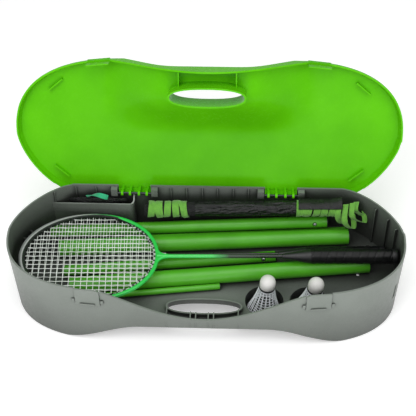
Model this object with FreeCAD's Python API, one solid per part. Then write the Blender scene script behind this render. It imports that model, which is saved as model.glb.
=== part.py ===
import FreeCAD, Part
import math
import os

# Portable badminton set in its clamshell carrying case, lid open.
# Millimetres, +Z up, +X to the right of a person facing the handle side, +Y towards the hinge.
# Origin: centre of the case's underside, on the table.

V = FreeCAD.Vector
os.makedirs("parts", exist_ok=True)

# ---- driving dimensions -------------------------------------------------------------------
HALF_LEN = 338.0          # case half length
HALF_WID = 125.0          # case half width, hinge wall and handle wall
WIDEST_Y = 8.5            # y of the widest point of the rounded ends
BACK_STRAIGHT = 235.0     # half length of the straight hinge wall
FRONT_STRAIGHT = 141.7    # half length of the straight handle wall
BACK_POWER, FRONT_POWER = 1.57, 2.42   # fullness of the rounded corners
RIM_Z = 134.0             # parting line at the ends and the hinge wall
RIM_DIP = 72.0            # how far the parting line drops at the handle
RIM_DIP_HALF = 176.0
UNDER_RISE = 40.5         # how far the handle wall's lower edge stands off the table
UNDER_HALF = 252.0
DRAFT = 4.5               # inward lean of the walls from rim to table
WALL = 3.0
TRAY_Z = 44.0             # top of the tray that carries the contents
SKIRT_Z = 1.5             # lower edge of the skirt; the feet reach z = 0
LID_TOP = 152.0
LID_DIP = 56.0            # how far the lid's top sinks at the handle
LID_GAP = 0.5
LID_GAP_BACK = 2.4
OPEN_ANGLE = 111.4        # lid opening, closed to its stop
PIN_Y, PIN_Z, PIN_R = 116.4, 121.4, 2.0
HINGE_X = (-131.0, 129.5)
HINGE_HALF = 28.5
HANDLE_Y, HANDLE_HX, HANDLE_HY = -83.5, 65.0, 17.5
RING_TOP, RING_WALL = 52.0, 3.0
WELL_R, WELL_FLOOR = 33.0, 19.0
WELLS = ((102.0, -62.5), (178.0, -62.5))
LATCH_X, LATCH_Y, LATCH_YAW = 188.5, -123.2, 5.6
LATCH_W, LATCH_BOT, LATCH_PIN_Z, LATCH_PIN_V = 42.0, 96.5, 106.0, 4.2
DIVIDER_Y, DIVIDER_TOP, DIVIDER_BACK = 100.4, 108.0, 121.0
DIVIDER_X = -131.0
SOCKET_AT, SOCKET_R, SOCKET_TOP = (-319.0, 50.0), 9.2, 80.0
FEET = ((-262, 66), (262, 66), (-262, -50), (262, -50), (0, 0))


# ---- helpers ------------------------------------------------------------------------------
def box(x0, x1, y0, y1, z0, z1):
    return Part.makeBox(x1 - x0, y1 - y0, z1 - z0, V(x0, y0, z0))


def cyl(r, p, q):
    d = V(*q) - V(*p)
    return Part.makeCylinder(r, d.Length, V(*p), d)


def tube(r_out, r_in, p, q):
    return cyl(r_out, p, q).cut(cyl(r_in, p, q))


def spline(points, first=None, last=None):
    curve = Part.BSplineCurve()
    if first:
        curve.interpolate(Points=points, InitialTangent=first, FinalTangent=last)
    else:
        curve.interpolate(Points=points)
    return curve.toShape()


def outline_y_back(x, inset=0.0):
    k = (abs(x) - BACK_STRAIGHT) / (HALF_LEN - inset - BACK_STRAIGHT)
    if k <= 0:
        return HALF_WID - inset
    top = HALF_WID - inset - WIDEST_Y
    return WIDEST_Y + top * (1 - min(k, 1) ** BACK_POWER) ** (1 / BACK_POWER)


def outline_y_front(x, inset=0.0):
    k = (abs(x) - FRONT_STRAIGHT) / (HALF_LEN - inset - FRONT_STRAIGHT)
    if k <= 0:
        return -(HALF_WID - inset)
    low = HALF_WID - inset + WIDEST_Y
    return WIDEST_Y - low * (1 - min(k, 1) ** FRONT_POWER) ** (1 / FRONT_POWER)


def quarter(x_start, y_start, power, inset, z, count=13):
    """Rounded corner from the straight wall to the widest point, right-hand side."""
    end_x = HALF_LEN - inset
    points = []
    for i in range(count):
        t = math.pi / 2 * i / (count - 1)
        x = x_start + (end_x - x_start) * math.sin(t) ** (2 / power) if i else x_start
        c = math.cos(t) ** (2 / power) if i < count - 1 else 0.0
        points.append(V(x, WIDEST_Y + (y_start - WIDEST_Y) * c, z))
    return points


def outline(inset, z):
    """Closed wire of the case's plan shape, drawn in by inset."""
    back = quarter(BACK_STRAIGHT, HALF_WID - inset, BACK_POWER, inset, z)
    front = quarter(FRONT_STRAIGHT, -(HALF_WID - inset), FRONT_POWER, inset, z)
    mirror = lambda pts: [V(-p.x, p.y, p.z) for p in pts]
    right, down, up = V(1, 0, 0), V(0, -1, 0), V(0, 1, 0)
    edges = [Part.makeLine(mirror(back)[0], back[0]),
             spline(back, right, down),
             spline(front[::-1], down, -right),
             Part.makeLine(front[0], mirror(front)[0]),
             spline(mirror(front), -right, up),
             spline(mirror(back)[::-1], up, right)]
    return Part.Wire(edges)


def loft(*sections):
    return Part.makeLoft([outline(inset, z) for inset, z in sections], True, True)


def wall_inset(z):
    return DRAFT * (1 - z / RIM_Z)


def ease(t):
    t = max(0.0, min(1.0, t))
    return (1 + math.cos(math.pi * t)) / 2


def rim_z(x):
    return RIM_Z - RIM_DIP * ease(abs(x) / RIM_DIP_HALF) ** 0.6


def under_z(x):
    t = abs(x) / UNDER_HALF
    return UNDER_RISE * ease((t - 0.42) / 0.58)


def profile_prism(height, half, z_far, y0, y1, lift=0.0, count=33):
    """Everything between the curve z = height(x) and z_far, as a prism along y."""
    xs = [half * (2 * i / (count - 1) - 1) for i in range(count)]
    pts = [V(x, y0, height(x) + lift) for x in xs]
    curve = spline(pts)
    a, b = V(-half, y0, z_far), V(half, y0, z_far)
    wire = Part.Wire([curve, Part.makeLine(pts[-1], b), Part.makeLine(b, a), Part.makeLine(a, pts[0])])
    return Part.Face(wire).extrude(V(0, y1 - y0, 0))


def oval(hx, hy, cy, z):
    """Flattened oval wire, as round the handle hole."""
    pts = []
    for i in range(32):
        t = 2 * math.pi * i / 32
        c, s = math.cos(t), math.sin(t)
        pts.append(V(hx * math.copysign(abs(c) ** 0.85, c), cy + hy * math.copysign(abs(s) ** 0.85, s), z))
    curve = Part.BSplineCurve()
    curve.interpolate(Points=pts, PeriodicFlag=True)
    return Part.Wire([curve.toShape()])


def oval_prism(hx, hy, cy, z0, z1):
    return Part.Face(oval(hx, hy, cy, z0)).extrude(V(0, 0, z1 - z0))


def place_latch(shape, side):
    """Local latch frame (u along the wall, v inwards) to its place on the handle wall."""
    shape = shape.copy()
    if side < 0:
        shape = shape.mirror(V(0, 0, 0), V(1, 0, 0))
    shape.rotate(V(0, 0, 0), V(0, 0, 1), LATCH_YAW * side)
    shape.translate(V(LATCH_X * side, LATCH_Y, 0))
    return shape


def opened(shape):
    """From the closed position to the open stop, which is how the lid is stored."""
    shape = shape.copy()
    shape.rotate(V(0, PIN_Y, PIN_Z), V(1, 0, 0), -OPEN_ANGLE)
    return shape


def one(shape):
    solids = sorted(shape.Solids, key=lambda s: -s.Volume)
    return solids[0]


# ---- case ---------------------------------------------------------------------------------
def hinge_boss_spans():
    for cx in HINGE_X:
        yield cx - HINGE_HALF - 13, cx - HINGE_HALF - 1.5
        yield cx + HINGE_HALF + 1.5, cx + HINGE_HALF + 13


def case_base():
    shell = loft((wall_inset(SKIRT_Z), SKIRT_Z), (0, RIM_Z))
    shell = shell.cut(loft((WALL + wall_inset(TRAY_Z), TRAY_Z), (WALL - 0.1, RIM_Z + 3)))
    shell = shell.cut(loft((WALL + wall_inset(0), -1), (WALL + wall_inset(TRAY_Z - WALL), TRAY_Z - WALL)))
    shell = shell.cut(profile_prism(rim_z, RIM_DIP_HALF, RIM_Z + 20, -140, -95))
    shell = shell.cut(profile_prism(under_z, UNDER_HALF, -5, -140, -60))
    # hinge cut-outs and the bosses that hold the pins
    for cx in HINGE_X:
        shell = shell.cut(box(cx - HINGE_HALF, cx + HINGE_HALF, 110, 130, 113.4, RIM_Z + 5))
    for x0, x1 in hinge_boss_spans():
        shell = shell.fuse(box(x0, x1, 112.6, 122.6, 116.2, RIM_Z - 2))
    for cx in HINGE_X:
        reach = HINGE_HALF + 11.2
        shell = shell.cut(cyl(PIN_R + 0.02, (cx - reach, PIN_Y, PIN_Z), (cx + reach, PIN_Y, PIN_Z)))
    # shuttlecock cups hang below the tray
    for x, y in WELLS:
        shell = shell.fuse(Part.makeCylinder(WELL_R + 2, TRAY_Z - WELL_FLOOR + 2, V(x, y, WELL_FLOOR - 2)))
    for x, y in WELLS:
        shell = shell.cut(Part.makeCylinder(WELL_R, 60, V(x, y, WELL_FLOOR)))
    # handle collar
    ring = oval_prism(HANDLE_HX, HANDLE_HY, HANDLE_Y, TRAY_Z - WALL, RING_TOP)
    shell = shell.fuse(ring)
    seat = oval_prism(HANDLE_HX + 0.6, HANDLE_HY + 0.6, HANDLE_Y, RING_TOP, 70)     # left free for the lid's collar
    for x in (-62, -22, -13, 8, 17, 58):
        shell = shell.fuse(box(x - 0.9, x + 0.9, -122.5, HANDLE_Y - 12, TRAY_Z - 1, 57.5 + abs(x) * 0.05)
                           .cut(oval_prism(HANDLE_HX - 1, HANDLE_HY - 1, HANDLE_Y, 30, 70)).cut(seat))
    shell = shell.cut(oval_prism(HANDLE_HX - RING_WALL, HANDLE_HY - RING_WALL, HANDLE_Y, 30, 70))
    # latch windows with ears for the latch pins
    for side in (-1, 1):
        shell = shell.cut(place_latch(box(-LATCH_W / 2, LATCH_W / 2, -8, 6, LATCH_BOT, RIM_Z + 5), side))
        for u in (-LATCH_W / 2 - 5, LATCH_W / 2 + 0.6):
            ear = box(u, u + 4.4, -0.6, 6.6, LATCH_PIN_Z - 4, LATCH_PIN_Z + 4)
            ear = ear.cut(cyl(1.22, (u - 1, LATCH_PIN_V, LATCH_PIN_Z), (u + 6, LATCH_PIN_V, LATCH_PIN_Z)))
            shell = shell.fuse(place_latch(ear, side))
    # ribs inside the hinge wall and the right-hand end, sockets at the left end
    for x in (-272, -236, -200, -66, -38, -10, 17, 45, 72):
        y = outline_y_back(x, WALL)
        shell = shell.fuse(box(x - 0.9, x + 0.9, y - 3.2, y + 1.2, 106, RIM_Z - 3))
    for x, lean in ((296, 48), (315, 35), (327, 22)):
        y = outline_y_back(x, WALL + wall_inset(90))
        rib = box(-0.9, 0.9, -4.5, 2.0, TRAY_Z - 1, 126)
        rib.rotate(V(0, 0, 0), V(0, 0, 1), -(90 - lean))
        rib.translate(V(x, y, 0))
        shell = shell.fuse(rib)
    # pole socket moulded inside the left end, with its slot through the right-hand end
    socket = tube(SOCKET_R + 2.4, SOCKET_R, (*SOCKET_AT, TRAY_Z - 1), (*SOCKET_AT, SOCKET_TOP))
    shell = shell.fuse(socket.common(loft((WALL + wall_inset(TRAY_Z) - 1.5, 10), (WALL - 1.5, RIM_Z))))
    shell = shell.cut(box(312, 340, -58, -51, 52, 84))
    for x, y in ((265, 2), (287, 70)):
        shell = shell.cut(Part.makeCylinder(3, 20, V(x, y, TRAY_Z - 10)))
    # stiffening webs under the tray and posts for the feet
    for x in (-200, -100, 100, 200):
        web = box(x - 1.25, x + 1.25, 20, 123, 12, TRAY_Z - WALL + 0.5)
        shell = shell.fuse(web.common(loft((WALL + wall_inset(0) - 1, 0), (WALL + wall_inset(50) - 1, 50))))
    for x, y in FEET:
        shell = shell.fuse(Part.makeCylinder(12, TRAY_Z - WALL - 3.0 + 0.5, V(x, y, 3.0)))
    return one(shell.removeSplitter())


def foot(x, y):
    return Part.makeCylinder(11, 3.0, V(x, y, 0))


def pocket_divider():
    """L-shaped wall that closes off the small back pocket."""
    t, y, x1 = 2.4, DIVIDER_Y, DIVIDER_X
    z0, z1, r = TRAY_Z + 0.05, DIVIDER_TOP, 9.0
    x0 = -306
    outer = box(x0, x1, y, 121.2, z0, DIVIDER_BACK)
    edges = [e for e in outer.Edges if abs(e.BoundBox.XMin - x1) < 0.1 and e.BoundBox.XLength < 0.1
             and abs(e.BoundBox.YMin - y) < 0.1 and e.BoundBox.YLength < 0.1]
    outer = outer.makeFillet(r, edges)
    inner = box(x0 - 5, x1 - t, y + t, 125, z0 - 1, DIVIDER_BACK + 1)
    edges = [e for e in inner.Edges if abs(e.BoundBox.XMin - (x1 - t)) < 0.1 and e.BoundBox.XLength < 0.1
             and abs(e.BoundBox.YMin - (y + t)) < 0.1 and e.BoundBox.YLength < 0.1]
    inner = inner.makeFillet(r - t, edges)
    wall = outer.cut(inner)
    # the top edge is level along the front and climbs to the hinge wall along the side
    pts = [V(-400, y - 5, z1), V(-400, y + 3, z1), V(-400, 123, DIVIDER_BACK), V(-400, 123, 160), V(-400, y - 5, 160)]
    wall = wall.cut(Part.Face(Part.makePolygon(pts + pts[:1])).extrude(V(400, 0, 0)))
    wall = wall.common(loft((WALL + 0.3 + wall_inset(z0), z0), (WALL + 0.3, RIM_Z)))
    return one(wall)


def hinge_pin(cx):
    return cyl(PIN_R, (cx - HINGE_HALF - 11, PIN_Y, PIN_Z), (cx + HINGE_HALF + 11, PIN_Y, PIN_Z))


# ---- latches ------------------------------------------------------------------------------
def latch(side):
    """Lever in the handle wall: pressing the ridge swings the catch out of the lid's tongue."""
    half, v = LATCH_W / 2 - 0.5, LATCH_PIN_V
    plate = box(-half, half, -0.9, 1.7, LATCH_BOT + 1.1, RIM_Z - 0.2)
    catch = box(-10, 10, 1.2, 4.6, 118, 121)
    ridge = box(-12, 12, -2.8, 0.0, 98.8, 101.8)
    barrel = cyl(2.2, (-half + 0.3, v, LATCH_PIN_Z), (half - 0.3, v, LATCH_PIN_Z))
    rib = box(-half + 0.3, half - 0.3, 1.2, v, LATCH_PIN_Z - 1.4, LATCH_PIN_Z + 1.4)
    body = plate.fuse([catch, ridge, barrel, rib])
    body = body.cut(cyl(1.25, (-30, v, LATCH_PIN_Z), (30, v, LATCH_PIN_Z)))
    body = place_latch(one(body.removeSplitter()), side)
    return one(body.cut(profile_prism(rim_z, RIM_DIP_HALF, RIM_Z + 20, -140, -95, -0.3)))


def latch_pin(side):
    half = LATCH_W / 2 + 4.6
    return place_latch(cyl(1.2, (-half, LATCH_PIN_V, LATCH_PIN_Z), (half, LATCH_PIN_V, LATCH_PIN_Z)), side)


# ---- lid ----------------------------------------------------------------------------------
def lid_top_z(x, y):
    across = ease((abs(x) - 55) / 130.0)
    along = ease((y + 72) / 85.0)
    return LID_TOP - LID_DIP * across * along


def above_lid_surface(drop):
    """Solid over the lid's dished top surface, lowered by drop."""
    grid = []
    for i in range(29):
        x = -350 + 700 * i / 28
        grid.append([V(x, y, lid_top_z(x, y) - drop) for y in [-140 + 280 * j / 20 for j in range(21)]])
    surface = Part.BSplineSurface()
    surface.interpolate(grid)
    return surface.toShape().extrude(V(0, 0, 150))


def lid_shell():
    outer = loft((0, 50), (0, RIM_Z + 6))
    outer = outer.fuse(loft((0, RIM_Z + 6), (5.0, LID_TOP + 0.4)))
    outer = outer.cut(above_lid_surface(0))
    inner = loft((WALL, 40), (WALL, RIM_Z + 5))
    inner = inner.fuse(loft((WALL, RIM_Z + 5), (5.0 + WALL - 0.5, LID_TOP - 2)))
    inner = inner.cut(above_lid_surface(3.2))
    lid = outer.removeSplitter().cut(inner)
    # parting line: follows the case rim, a little higher along the hinge wall
    lid = lid.cut(box(-400, 400, 30, 200, 0, RIM_Z + LID_GAP))
    lid = lid.cut(profile_prism(rim_z, RIM_DIP_HALF, 0, -200, -110, LID_GAP))
    for s in (-1, 1):
        lid = lid.cut(box(*sorted((s * RIM_DIP_HALF, s * 400)), -200, 31, 0, RIM_Z + LID_GAP))
    lid = lid.cut(box(-400, 400, 106, 200, 0, RIM_Z + LID_GAP_BACK))
    # handle collar, meeting the case's collar when closed
    top = LID_TOP - LID_DIP
    lid = lid.fuse(oval_prism(HANDLE_HX, HANDLE_HY, HANDLE_Y, RING_TOP + LID_GAP, top - 1))
    for x in (-48, 48):
        lid = lid.fuse(box(x - 0.9, x + 0.9, -122.5, HANDLE_Y - 10, 71.5, top - 1))
    lid = lid.cut(oval_prism(HANDLE_HX - RING_WALL, HANDLE_HY - RING_WALL, HANDLE_Y, 30, 200))
    # hinge arms
    for cx in HINGE_X:
        for dx in (-22, -8, 8, 22):
            arm = box(cx + dx - 2, cx + dx + 2, PIN_Y - 4, PIN_Y + 4, PIN_Z, LID_TOP - 2)
            arm = arm.fuse(cyl(4.6, (cx + dx - 2, PIN_Y, PIN_Z), (cx + dx + 2, PIN_Y, PIN_Z)))
            lid = lid.fuse(arm)
        lid = lid.cut(cyl(PIN_R + 0.05, (cx - 26, PIN_Y, PIN_Z), (cx + 26, PIN_Y, PIN_Z)))
    # tongues that drop behind the case's latches, each with a window for the catch
    for side in (-1, 1):
        tongue = box(-19.5, 19.5, 2.5, 4.7, 114.5, RIM_Z + 8).fuse(box(-19.5, 19.5, -0.4, 4.7, RIM_Z + 5, RIM_Z + 8))
        tongue = tongue.cut(box(-11, 11, 0, 8, 117.3, 121.8))
        lid = lid.fuse(place_latch(tongue, side))
    # corner gussets between end walls and top
    for sx in (-1, 1):
        for x, y, turn in ((266, -76, 40), (262, 84, -40)):
            plate = box(-16, 16, -1.2, 1.2, LID_TOP - 12, LID_TOP - 2.5)
            plate.rotate(V(0, 0, 0), V(0, 0, 1), turn * sx)
            plate.translate(V(x * sx, y, 0))
            lid = lid.fuse(plate)
    return opened(one(lid.removeSplitter()))


# ---- contents -----------------------------------------------------------------------------
# name: left end, right end (centre line), outer radius, wall
POLES = {
    "pole_f": ((-150, 69.9, 50.4), (247, 103.0, 50.4), 6.0),
    "pole_a": ((-283, 80.5, 55.2), (213, 101.0, 74.3), 10.8),
    "pole_b": ((-262, 37.5, 58.9), (251, 79.4, 58.9), 14.4),
    "pole_c": ((-247, -12.0, 54.2), (121, 32.2, 54.2), 9.5),
    "pole_d": ((-232, -50.0, 58.9), (283, 13.0, 58.9), 14.4),
    "pole_e": ((-226, -70.5, 49.8), (25, -36.5, 49.8), 5.2),
}
POLE_WALL = 1.4
BUTTONS = {"pole_a": 22.0, "pole_c": 22.0}    # distance from the right end
BUTTON_R = 3.0


def pole_frame(name):
    p, q, r = POLES[name]
    p, q = V(*p), V(*q)
    return p, q, r, (q - p).normalize()


def pole_tube(name):
    p, q, r, d = pole_frame(name)
    body = tube(r, r - POLE_WALL, tuple(p), tuple(q))
    if name in BUTTONS:
        body = body.cut(button_axis_cyl(name, BUTTON_R + 0.3, 0, 30))
    return body


def button_axis_cyl(name, radius, r0, r1):
    p, q, r, d = pole_frame(name)
    at = q - d * BUTTONS[name]
    up = BUTTON_DIR[name]
    up = (up - d * up.dot(d)).normalize()
    return cyl(radius, tuple(at + up * r0), tuple(at + up * r1))


BUTTON_DIR = {"pole_a": V(0, -0.95, 0.33), "pole_c": V(0, -0.9, 0.43)}


def pole_plugs(name):
    """Caps pressed into both ends of the tube; the flange of each sits outside."""
    p, q, r, d = pole_frame(name)
    caps = []
    for at, inwards in ((p, d), (q, d * -1)):
        cap = cyl(r - POLE_WALL - 0.05, tuple(at), tuple(at + inwards * 12))
        caps.append(cap.fuse(cyl(r - 0.6, tuple(at - inwards * 2.0), tuple(at))).removeSplitter())
    return Part.makeCompound([one(c) for c in caps])


def snap_button(name):
    p, q, r, d = pole_frame(name)
    stem = button_axis_cyl(name, BUTTON_R, r - POLE_WALL - 3.6, r + 2.6)
    flange = button_axis_cyl(name, BUTTON_R + 1.6, r - POLE_WALL - 3.6, r - POLE_WALL - 2.4)
    return stem.fuse(flange).removeSplitter()


NET_Y, NET_R = 97.0, 13.8
NET_X, NET_Z = (-112.0, 236.0), (101.0, 113.0)              # left end, right end


def net_at(x):
    t = (x - NET_X[0]) / (NET_X[1] - NET_X[0])
    return (x, NET_Y, NET_Z[0] + (NET_Z[1] - NET_Z[0]) * t)


def net_roll():
    return cyl(NET_R - 4, net_at(NET_X[0]), net_at(NET_X[1]))


def net_sleeve():
    return tube(NET_R, NET_R - 3.7, net_at(-22), net_at(196))


def net_tape(x0, x1, r):
    return tube(r, NET_R - 3.7, net_at(x0), net_at(x1))


# rackets: drawn along +X with the head centre at the origin, then laid in place
HEAD_HX, HEAD_HY, FRAME_HALF = 119.0, 100.0, 3.2
SHAFT_R, GRIP_R = 3.3, 12.4
THROAT_X, CONE_X, GRIP_X, BUTT_X = 119.0, 331.0, 380.0, 520.5


def head_ring(hx, hy, z0, z1):
    pts = []
    for i in range(36):
        t = 2 * math.pi * i / 36
        c = math.cos(t)
        pts.append(V(hx * c, hy * math.sin(t) * (1 + 0.03 * c), z0))
    curve = Part.BSplineCurve()
    curve.interpolate(Points=pts, PeriodicFlag=True)
    return Part.Face(Part.Wire([curve.toShape()])).extrude(V(0, 0, z1 - z0))


def racket_solids(shorter):
    f, butt_x = FRAME_HALF, BUTT_X - shorter
    frame = head_ring(HEAD_HX, HEAD_HY, -f, f).cut(head_ring(HEAD_HX - 8, HEAD_HY - 8, -f - 1, f + 1))
    frame = frame.fuse(box(HEAD_HX - 6, HEAD_HX + 16, -5, 5, -3.6, 3.6))
    frame = frame.cut(cyl(SHAFT_R, (HEAD_HX + 4, 0, 0), (HEAD_HX + 30, 0, 0)))
    strings = head_ring(HEAD_HX - 8.2, HEAD_HY - 8.2, -0.7, 0.7)
    shaft = cyl(SHAFT_R, (HEAD_HX + 4.2, 0, 0), (CONE_X + 30, 0, 0))
    cone = Part.makeCone(4.6, 11.8, GRIP_X - CONE_X, V(CONE_X, 0, 0), V(1, 0, 0))
    cone = cone.cut(cyl(SHAFT_R, (CONE_X - 1, 0, 0), (CONE_X + 30, 0, 0)))
    grip = cyl(GRIP_R - 0.6, (GRIP_X, 0, 0), (butt_x, 0, 0))
    butt = cyl(GRIP_R + 0.4, (butt_x, 0, 0), (butt_x + 9, 0, 0))
    return {"frame": one(frame.removeSplitter()), "strings": strings, "shaft": shaft, "cone": cone,
            "grip": grip, "butt_cap": butt}


# head centre, yaw and pitch (degrees)
RACKETS = {"racket_1": ((-199.0, -12.8, 94.2), 2.35, 0.97), "racket_2": ((-204.0, -2.2, 83.0), 4.87, 2.88)}
SHORTER = {"racket_1": 0.0, "racket_2": 10.0}            # how much shorter the grip is


def lay(shape, centre, yaw, pitch):
    shape = shape.copy()
    shape.rotate(V(0, 0, 0), V(0, 1, 0), pitch)
    shape.rotate(V(0, 0, 0), V(0, 0, 1), yaw)
    shape.translate(V(*centre))
    return shape


# shuttlecocks: foot of the skirt and direction of the cork
SHUTTLES = {"shuttle_1": ((101.6, -62.8, 22.4), (5.0, -1.0, 73.0)),
            "shuttle_2": ((179.0, -63.0, 23.2), (8.5, -4.0, 73.0))}
SKIRT_R, SKIRT_TOP_R, SKIRT_LEN, CORK_R = 28.8, 13.0, 58.0, 13.4


def shuttle_solids():
    skirt = Part.makeCone(SKIRT_R, SKIRT_TOP_R, SKIRT_LEN)
    skirt = skirt.cut(Part.makeCone(SKIRT_R - 1.5, SKIRT_TOP_R - 1.5, SKIRT_LEN, V(0, 0, -0.01)))
    skirt = skirt.cut(Part.makeCylinder(SKIRT_TOP_R - 1.5, 3, V(0, 0, SKIRT_LEN - 2)))
    skirt = skirt.cut(Part.makeCylinder(SKIRT_R - 1.5, 0.5, V(0, 0, -0.3)))
    band = Part.makeCylinder(CORK_R + 0.25, 4.0, V(0, 0, SKIRT_LEN + 0.05))
    cork = Part.makeCylinder(CORK_R, 9.5, V(0, 0, SKIRT_LEN + 4.1))
    dome = Part.makeSphere(CORK_R, V(0, 0, SKIRT_LEN + 13.6))
    cork = cork.fuse(dome.common(box(-20, 20, -20, 20, SKIRT_LEN + 13.6, SKIRT_LEN + 40)))
    return {"skirt": skirt, "band": band, "cork": cork.removeSplitter()}


def stand(shape, foot_at, direction):
    shape = shape.copy()
    rot = FreeCAD.Rotation(V(0, 0, 1), V(*direction))
    shape.Placement = FreeCAD.Placement(V(*foot_at), rot)
    return shape


def pouch():
    """Soft drawstring bag that fills the pocket."""
    bag = box(-240.5, -173, 103.4, 117.6, TRAY_Z + 0.4, 104)
    return bag.makeFillet(6, [e for e in bag.Edges if e.Length > 15])


def pouch_strap():
    strap = box(-216, -180, 105, 115, 104.3, 108.5)
    return strap.makeFillet(1.5, strap.Edges)


def build():
    nodes = {"case_base": case_base(), "pocket_divider": pocket_divider(), "lid_shell": lid_shell()}
    for tag, cx in zip(("left", "right"), HINGE_X):
        nodes["hinge_pin_" + tag] = hinge_pin(cx)
    for i, (x, y) in enumerate(FEET):
        nodes["foot_%d" % (i + 1)] = foot(x, y)
    for tag, side in (("left", -1), ("right", 1)):
        nodes["latch_" + tag] = latch(side)
        nodes["latch_pin_" + tag] = latch_pin(side)
    for name in POLES:
        nodes[name] = pole_tube(name)
        nodes[name + "_plugs"] = pole_plugs(name)
        if name in BUTTONS:
            nodes[name + "_button"] = snap_button(name)
    nodes["net_roll"] = net_roll()
    nodes["net_sleeve"] = net_sleeve()
    nodes["net_tape_left"] = net_tape(-110, -24, NET_R + 0.4)
    nodes["net_tape_right"] = net_tape(198, 234, NET_R + 2.8)
    for name, (centre, yaw, pitch) in RACKETS.items():
        for part, solid in racket_solids(SHORTER[name]).items():
            nodes[name + "_" + part] = lay(solid, centre, yaw, pitch)
    for name, (foot_at, direction) in SHUTTLES.items():
        for part, solid in shuttle_solids().items():
            nodes[name + "_" + part] = stand(solid, foot_at, direction)
    nodes["pouch"] = pouch()
    nodes["pouch_strap"] = pouch_strap()
    for name, shape in nodes.items():
        shape.exportStep("parts/%s.step" % name)
        print(name, shape.ShapeType, len(shape.Solids), round(shape.Volume / 1000, 2), shape.isValid())


build()
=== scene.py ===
import math
import random

import bpy
from mathutils import Matrix, Vector, noise


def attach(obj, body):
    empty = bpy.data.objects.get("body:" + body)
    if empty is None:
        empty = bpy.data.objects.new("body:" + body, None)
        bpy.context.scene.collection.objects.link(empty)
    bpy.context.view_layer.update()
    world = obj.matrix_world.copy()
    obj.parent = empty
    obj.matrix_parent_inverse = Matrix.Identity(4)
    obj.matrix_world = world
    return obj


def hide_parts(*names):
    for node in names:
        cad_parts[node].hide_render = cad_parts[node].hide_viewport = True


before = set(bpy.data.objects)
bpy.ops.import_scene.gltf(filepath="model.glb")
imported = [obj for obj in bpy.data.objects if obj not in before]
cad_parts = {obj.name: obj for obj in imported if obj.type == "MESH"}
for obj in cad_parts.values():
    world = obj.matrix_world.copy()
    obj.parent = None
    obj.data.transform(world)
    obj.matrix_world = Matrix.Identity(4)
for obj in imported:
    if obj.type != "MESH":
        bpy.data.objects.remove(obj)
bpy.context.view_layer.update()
MM = 0.001
rnd = random.Random(11)


# ---- node materials -----------------------------------------------------------------------
def new_material(name):
    m = bpy.data.materials.new(name)
    m.use_nodes = True
    return m, m.node_tree, m.node_tree.nodes["Principled BSDF"]


def node(nt, kind, values=None, **settings):
    n = nt.nodes.new("ShaderNode" + kind)
    for key, value in settings.items():
        setattr(n, key, value)
    for key, value in (values or {}).items():
        if isinstance(value, bpy.types.NodeSocket):
            nt.links.new(value, n.inputs[key])
        else:
            n.inputs[key].default_value = value
    return n


def object_coords(nt):
    return node(nt, "TexCoord").outputs["Object"]


def noise_tex(nt, coords, scale, detail=3.0, rough=0.55):
    values = {"Vector": coords, "Scale": scale, "Detail": detail, "Roughness": rough}
    return node(nt, "TexNoise", values).outputs["Fac"]


def remap(nt, value, lo, hi, a=0.3, b=0.7):
    """As value goes from a to b, the result goes from lo to hi."""
    values = {"Value": value, "From Min": a, "From Max": b, "To Min": lo, "To Max": hi}
    return node(nt, "MapRange", values).outputs["Result"]


def mix_colour(nt, fac, a, b):
    n = node(nt, "Mix", data_type="RGBA")
    for socket, value in ((n.inputs[0], fac), (n.inputs[6], a), (n.inputs[7], b)):
        if isinstance(value, bpy.types.NodeSocket):
            nt.links.new(value, socket)
        else:
            socket.default_value = value
    return n.outputs[2]


def math_node(nt, op, a, b=0.0):
    return node(nt, "Math", {0: a, 1: b}, operation=op).outputs[0]


def bump(nt, bsdf, height, distance, strength=1.0, under=None):
    values = {"Height": height, "Distance": distance, "Strength": strength}
    if under is not None:
        values["Normal"] = under
    out = node(nt, "Bump", values).outputs["Normal"]
    nt.links.new(out, bsdf.inputs["Normal"])
    return out


def rgb(hexa):
    out = []
    for i in (0, 2, 4):
        c = int(hexa[i:i + 2], 16) / 255
        out.append(c / 12.92 if c < 0.04045 else ((c + 0.055) / 1.055) ** 2.4)
    return (*out, 1.0)


def moulded(name, colour, dark, roughness, grain=1500.0, depth=0.00006, coat=0.0,
            painted_shade="", gloss=0.5):
    """Injection-moulded plastic: faint clouding, spark-eroded grain and uneven sheen.

    The colour argument after coat is painted shade: places that ambient occlusion finds sheltered
    are darkened towards it, standing in for shade, not dirt.
    """
    m, nt, bsdf = new_material(name)
    co = object_coords(nt)
    cloud = noise_tex(nt, co, 14.0, 4.0)
    fine = noise_tex(nt, co, grain, 2.0)
    scuff = noise_tex(nt, co, 160.0, 6.0, 0.7)
    col = mix_colour(nt, remap(nt, cloud, 0.0, 1.0), rgb(colour), rgb(dark))
    # painted shade: ambient occlusion darkens sheltered places towards the shade colour, as shade
    # rather than dirt
    if painted_shade:
        shelter = node(nt, "AmbientOcclusion", {"Distance": 0.16}, samples=8).outputs["AO"]
        col = mix_colour(nt, remap(nt, shelter, 1.0, 0.0, 0.30, 0.92), col, rgb(painted_shade))
    nt.links.new(col, bsdf.inputs["Base Color"])
    bsdf.inputs["Specular IOR Level"].default_value = gloss
    nt.links.new(remap(nt, scuff, roughness - 0.05, roughness + 0.08), bsdf.inputs["Roughness"])
    low = bump(nt, bsdf, cloud, 0.0006, 0.35)
    bump(nt, bsdf, fine, depth, 0.8, low)
    bsdf.inputs["Coat Weight"].default_value = coat
    bsdf.inputs["Coat Roughness"].default_value = 0.12
    return m


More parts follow.
